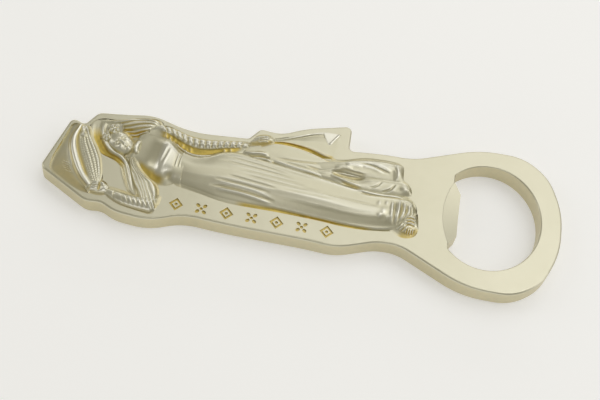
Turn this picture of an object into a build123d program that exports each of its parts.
"""Souvenir bottle opener: a cast plate with a cap ring and a dancer in low relief.

Frame: millimetres. +X runs along the handle towards the cap ring, +Z is the decorated face.
The origin is at the middle of the length and the width, on the flat back.
"""
from build123d import *
from math import radians, tan
import os

os.makedirs("parts", exist_ok=True)

# ---------------------------------------------------------------- driving dimensions
plate_thickness = 5.5        # back face to decorated face
half_length = 66.0           # origin to the outside of the ring, and to the head end
ring_half_width = 20.3       # the ring is the widest place
outer_edge_round = 0.6       # rounding of the plate's outer edges
hole_edge_round = 0.35       # rounding of the ring's inner edges

cap_hole_centre = 46.9       # centre of the oval hole, along X
cap_hole_offset = 0.5        # centre of the oval hole, along Y
cap_hole_half_length = 13.6  # along X
cap_hole_half_width = 14.9   # along Y
cap_hole_corner = 1.0        # corners between the oval and the lip's root
lip_front = 39.5             # straight working edge of the lifting lip
lip_width = 12.2             # length of the working edge
lip_root_width = 18.0        # width where the lip's flanks meet the hole
lip_crease = 35.3            # nearest point of the curved crease to the handle
lip_drop = 1.3               # how far the working edge lies below the face
lip_crease_radius = 19.6     # plan radius of the crease
lip_seam = 0.05              # hairline between lip and plate along the crease

recess_depth = 0.8           # floor of the figure's recess below the face
groove = 0.3                 # gap between the figure's pieces and the wall of the recess
seam = 0.12                  # hairline between neighbouring pieces of the figure
mark_depth = 0.35            # engraved marks
mark_size = 3.6              # across one mark
mark_groove = 0.55           # width of an engraved line
mark_dot = 0.4               # radius of the dot in the middle of a mark
petal_width = 0.9            # petals of the blossom marks
mark_count = 7
first_mark = -31.0           # first and last mark, along X
last_mark = 7.0
mark_row = -12.0             # row of marks, along Y

# heights of the figure's pieces above the plate's face
hat_height = 0.3
lining_height = 0.5
hand_height = 1.5
raised_sleeve_height = 1.6
hair_height = 1.3
head_height = 2.0
flower_height = 2.2
bodice_height = 2.0
lowered_sleeve_height = 1.5
gown_height = 2.0
back_panel_height = 0.3
trouser_height = 1.0
sandal_height = 0.9

recess_floor = plate_thickness - recess_depth


# ---------------------------------------------------------------- outlines
def soft_outline(corners, share=0.46):
    """Closed face with rounded corners.

    A corner (x, y) is rounded as far as the straight runs beside it allow, and (x, y, radius) by that radius.
    """
    places = [Vector(*corner[:2]) for corner in corners]
    radii = []
    for i, corner in enumerate(corners):
        run_in = places[i] - places[i - 1]
        run_out = places[(i + 1) % len(places)] - places[i]
        half_turn = radians(run_in.get_angle(run_out)) / 2
        largest = share * min(run_in.length, run_out.length) / tan(half_turn)
        radii.append(corner[2] if len(corner) > 2 else largest)
    with BuildSketch() as outline:
        with BuildLine():
            FilletPolyline(*places, radius=radii, close=True)
        make_face()
    return outline.sketch


ring_turn = 15.4             # where the ring's outline turns between its end and its widest place, along Y
plate_outline = soft_outline([
    (-half_length - 0.4, -8.2, 2.0), (-61.9, 7.5, 1.5), (-58.4, 6.1, 1.2), (-55.7, 10.3, 2.6), (-48.0, 11.3),
    (-41.8, 12.5), (-31.4, 9.5), (-16.7, 10.8, 1.5), (-14.1, 14.3, 1.8), (-8.6, 13.8), (-2.6, 16.9),
    (9.3, 20.2, 1.5), (9.4, 12.6, 1.2), (19.0, 13.6), (26.2, 13.6), (43.3, ring_half_width),
    (55.0, ring_half_width), (half_length - 4.0, ring_turn), (half_length, 5.8),
    (half_length, -5.8), (half_length - 4.0, -ring_turn), (55.0, -ring_half_width), (42.5, -ring_half_width),
    (25.4, -12.1), (19.9, -12.1), (10.0, -15.8), (3.0, -15.3), (-18.0, -15.2), (-29.0, -14.5), (-36.9, -17.9),
    (-45.6, -17.1), (-49.4, -15.1), (-53.0, -15.7)])

# Plan outlines of the figure, each a ring of corners that the smooth edge runs inside of.
hat_outline = soft_outline([
    (-61.2, 5.7), (-62.2, 1.5), (-63.8, -5.0), (-63.8, -8.6), (-58.5, -11.4), (-54.5, -13.2),
    (-51.0, -13.0), (-51.6, -10.8), (-56.2, -7.0), (-59.4, -1.0), (-59.6, 4.0), (-59.0, 5.4)])
lining_outline = soft_outline([
    (-60.0, 5.4), (-57.2, 5.2), (-55.6, 2.0), (-52.6, -1.6), (-51.2, -6.0), (-50.2, -10.4),
    (-51.6, -12.6), (-55.0, -10.6), (-59.2, -4.6), (-60.6, 1.2)])
raised_hand_outline = soft_outline([
    (-54.0, -12.2), (-52.6, -9.4), (-50.6, -9.2), (-48.6, -10.2), (-48.0, -12.0), (-49.4, -13.2),
    (-52.0, -13.2)])
raised_sleeve_outline = soft_outline([
    (-48.6, -10.6), (-45.0, -11.0), (-42.0, -11.8), (-43.4, -8.0), (-45.4, -4.0), (-44.6, -0.6),
    (-41.6, -3.0), (-37.6, -6.4), (-36.0, -9.2), (-35.6, -13.4), (-36.4, -16.0), (-40.6, -15.4),
    (-45.0, -14.8), (-48.6, -12.9)])
flower_outlines = [(-50.4, 6.0, 1.5), (-51.8, 3.0, 1.3)]
head_outline = soft_outline([
    (-51.8, 0.2), (-52.4, 4.0), (-50.2, 6.8), (-46.4, 6.4), (-44.2, 4.2), (-42.8, 4.0),
    (-42.6, 0.6), (-44.8, -1.0), (-48.4, -0.8)])
hair_outline = soft_outline([
    (-54.4, 8.4), (-49.0, 8.8), (-46.0, 10.2), (-40.8, 11.1), (-38.4, 10.0), (-40.6, 8.0), (-43.0, 5.4),
    (-43.6, 2.0), (-45.0, -0.4), (-43.6, -5.0), (-41.6, -9.2), (-41.0, -11.8), (-43.4, -11.0),
    (-45.8, -6.6), (-47.2, -3.0), (-53.0, -1.8), (-56.4, 3.6), (-56.8, 6.8)])
bodice_outline = soft_outline([
    (-43.6, 7.6), (-38.6, 9.0), (-30.8, 7.0), (-31.4, -2.0), (-33.0, -6.9), (-37.0, -7.6),
    (-41.0, -4.6), (-45.4, -1.8), (-44.0, 3.4)])
lowered_sleeve_outline = soft_outline([
    (-42.2, 6.0), (-40.8, 9.0), (-37.6, 9.8), (-31.6, 7.8), (-26.6, 7.6), (-20.0, 8.8),
    (-15.8, 9.4), (-16.2, 6.6), (-21.0, 5.6), (-25.0, 3.2), (-30.6, 1.9), (-34.0, 4.6), (-38.0, 6.2)])
lowered_hand_outline = soft_outline([
    (-16.0, 8.6), (-14.2, 12.0), (-11.6, 12.6), (-10.0, 11.4), (-12.4, 9.6), (-14.4, 8.4)])
gown_outline = soft_outline([
    (-31.8, 3.4), (-27.4, 2.0), (-20.0, 5.8), (-14.4, 4.8), (-7.0, 3.8), (6.0, 2.0), (18.0, 0.6),
    (26.8, 1.6), (28.8, -1.4), (27.6, -5.8), (23.0, -8.4), (14.0, -9.6), (-4.0, -8.7), (-19.0, -9.0),
    (-27.0, -7.4), (-33.6, -6.4), (-32.6, -2.0)])
back_panel_outline = soft_outline([
    (-22.0, 5.6), (-15.4, 8.8), (-11.0, 11.4), (-6.4, 13.0), (2.4, 16.6), (7.0, 16.6), (6.2, 12.8),
    (4.4, 9.2), (8.8, 8.6), (8.4, 2.0), (-4.0, 3.0), (-14.0, 4.2)])
trouser_outline = soft_outline([
    (4.6, 8.6), (9.0, 9.2), (13.6, 11.0), (20.0, 11.4), (23.9, 11.0), (23.8, 6.4), (26.0, 5.4),
    (26.6, 1.0), (20.0, 0.6), (9.0, 1.4), (4.2, 2.6)])
sandal_outline = soft_outline([
    (22.6, -8.0), (25.6, -9.8), (29.2, -8.8), (29.2, -4.6), (28.4, -1.2), (26.2, -3.6), (24.4, -6.6)])
with BuildSketch() as flowers:
    for flower_x, flower_y, flower_radius in flower_outlines:
        with Locations((flower_x, flower_y)):
            Circle(flower_radius)
flower_outline = flowers.sketch

# Front piece first: each piece is cut back by the pieces before it.
figure = [
    ("hair_flowers", flower_outline, flower_height),
    ("raised_hand", raised_hand_outline, hand_height),
    ("lowered_hand", lowered_hand_outline, hand_height),
    ("head", head_outline, head_height),
    ("hair", hair_outline, hair_height),
    ("lowered_sleeve", lowered_sleeve_outline, lowered_sleeve_height),
    ("raised_sleeve", raised_sleeve_outline, raised_sleeve_height),
    ("bodice", bodice_outline, bodice_height),
    ("gown_front_panel", gown_outline, gown_height),
    ("trousers", trouser_outline, trouser_height),
    ("gown_back_panel", back_panel_outline, back_panel_height),
    ("sandal", sandal_outline, sandal_height),
    ("hat_lining", lining_outline, lining_height),
    ("conical_hat", hat_outline, hat_height),
]

# ---------------------------------------------------------------- ring and lifting lip
crease_centre = lip_crease + lip_crease_radius
lip_root = crease_centre - (lip_crease_radius**2 - lip_root_width**2 / 4) ** 0.5
lip_bevel = lip_front - lip_crease


def lip_plan(crease_radius):
    """Plan of the lifting lip, from its crease to its working edge."""
    with BuildSketch() as plan:
        with Locations((crease_centre, 0)):
            Circle(crease_radius)
        with Locations((lip_root, 0)):
            Rectangle(lip_bevel, lip_root_width, align=(Align.MAX, Align.CENTER), mode=Mode.INTERSECT)
        with BuildLine():
            Polyline((lip_root, -lip_root_width / 2), (lip_front, -lip_width / 2),
                     (lip_front, lip_width / 2), (lip_root, lip_root_width / 2), close=True)
        make_face()
    return plan.sketch


with BuildSketch() as cap_hole:
    with Locations((cap_hole_centre, cap_hole_offset)):
        Ellipse(cap_hole_half_length, cap_hole_half_width)
    with Locations((lip_root, 0)):
        Rectangle(half_length, 2 * ring_half_width, align=(Align.MAX, Align.CENTER), mode=Mode.SUBTRACT)
    fillet(cap_hole.vertices(), radius=cap_hole_corner)

with BuildPart() as cap_lip:
    with BuildSketch():
        add(lip_plan(lip_crease_radius))
    extrude(amount=plate_thickness)
    with Locations((crease_centre, 0, plate_thickness)):
        Cone(lip_crease_radius - lip_bevel, lip_crease_radius, lip_drop,
             align=(Align.CENTER, Align.CENTER, Align.MAX), mode=Mode.SUBTRACT)
cap_lip.part.label = "cap_lip"
export_step(cap_lip.part, "parts/cap_lip.step")


# ---------------------------------------------------------------- engraved marks
with BuildSketch() as lozenge_mark:
    RegularPolygon(mark_size / 2, 4)
    offset(amount=-mark_groove, mode=Mode.SUBTRACT)
    Circle(mark_dot)

petal_length = mark_size / 2 - 1.5 * mark_dot
with BuildSketch() as blossom_mark:
    with PolarLocations(mark_size / 2 - petal_length / 2, 4, start_angle=45):
        Ellipse(petal_length / 2, petal_width / 2)
    Circle(mark_dot)

mark_pitch = (last_mark - first_mark) / (mark_count - 1)


# ---------------------------------------------------------------- plate
with BuildPart() as opener_plate:
    with BuildSketch():
        add(plate_outline)
    extrude(amount=plate_thickness)
    outer_edges = opener_plate.edges().group_by(Axis.Z)
    fillet(outer_edges[0] + outer_edges[-1], radius=outer_edge_round)
    with BuildSketch():
        add(cap_hole.sketch)
    extrude(amount=plate_thickness, mode=Mode.SUBTRACT)
    hole_edges = opener_plate.edges(Select.LAST).group_by(Axis.Z)
    fillet(hole_edges[0] + hole_edges[-1], radius=hole_edge_round)
    with BuildSketch():
        add(lip_plan(lip_crease_radius + lip_seam))
    extrude(amount=plate_thickness, mode=Mode.SUBTRACT)
    for _, outline, _ in figure:
        with BuildSketch(Plane.XY.offset(recess_floor)):
            add(outline)
            offset(amount=groove)
        extrude(amount=2 * recess_depth, mode=Mode.SUBTRACT)
    for i in range(mark_count):
        with BuildSketch(Plane.XY.offset(plate_thickness)):
            with Locations((first_mark + i * mark_pitch, mark_row)):
                add(blossom_mark.sketch if i % 2 else lozenge_mark.sketch)
        extrude(amount=-mark_depth, mode=Mode.SUBTRACT)
opener_plate.part.label = "opener_plate"
export_step(opener_plate.part, "parts/opener_plate.step")


# ---------------------------------------------------------------- figure
for index, (node, outline, height) in enumerate(figure):
    with BuildPart() as piece:
        with BuildSketch(Plane.XY.offset(recess_floor)):
            add(outline)
        extrude(amount=recess_depth + height)
        for _, front_outline, _ in figure[:index]:
            with BuildSketch(Plane.XY.offset(recess_floor)):
                add(front_outline)
                offset(amount=seam)
            extrude(amount=recess_depth + height, mode=Mode.SUBTRACT)
    piece.part.label = node
    export_step(piece.part, f"parts/{node}.step")
